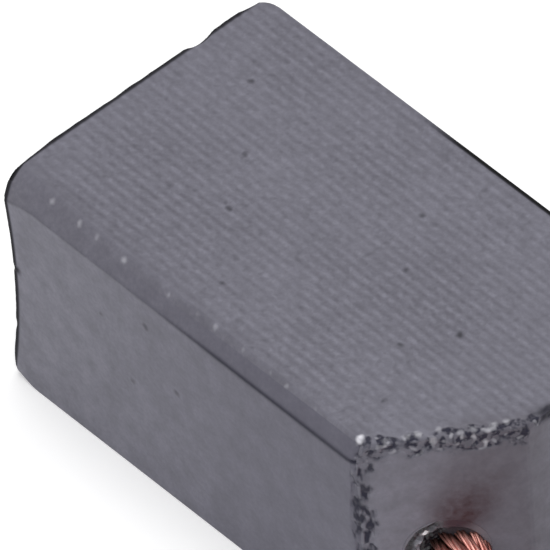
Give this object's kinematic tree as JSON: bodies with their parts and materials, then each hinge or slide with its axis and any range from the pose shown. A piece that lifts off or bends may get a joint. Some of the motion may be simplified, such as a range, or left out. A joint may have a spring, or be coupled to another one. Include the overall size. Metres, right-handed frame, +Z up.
{
  "type": "carbon brush",
  "caption": "Motor carbon brush: pressed carbon block with a cut corner, a copper pigtail tamped into it and a crimped ring terminal.",
  "frame": {"origin": "centre of the block's broad bottom face, on the surface it rests on", "axes": "+X along the block from the contact face to the wire end, +Y across its width away from the cut corner, +Z up through its thickness"},
  "size_m": [0.04, 0.0176, 0.0065],
  "materials": {
    "carbon": "pressed and ground carbon-graphite, dull with a faint sheen",
    "tamping_powder": "tamped conductive powder, granular",
    "copper": "bare stranded copper, soft bright",
    "tinned_sheet": "tinned brass sheet, satin"
  },
  "bodies": {
    "root": {"carbon_block": "carbon", "tamping_plug": "tamping_powder", "copper_shunt": "copper", "ring_terminal": "tinned_sheet"}
  },
  "joints": []
}
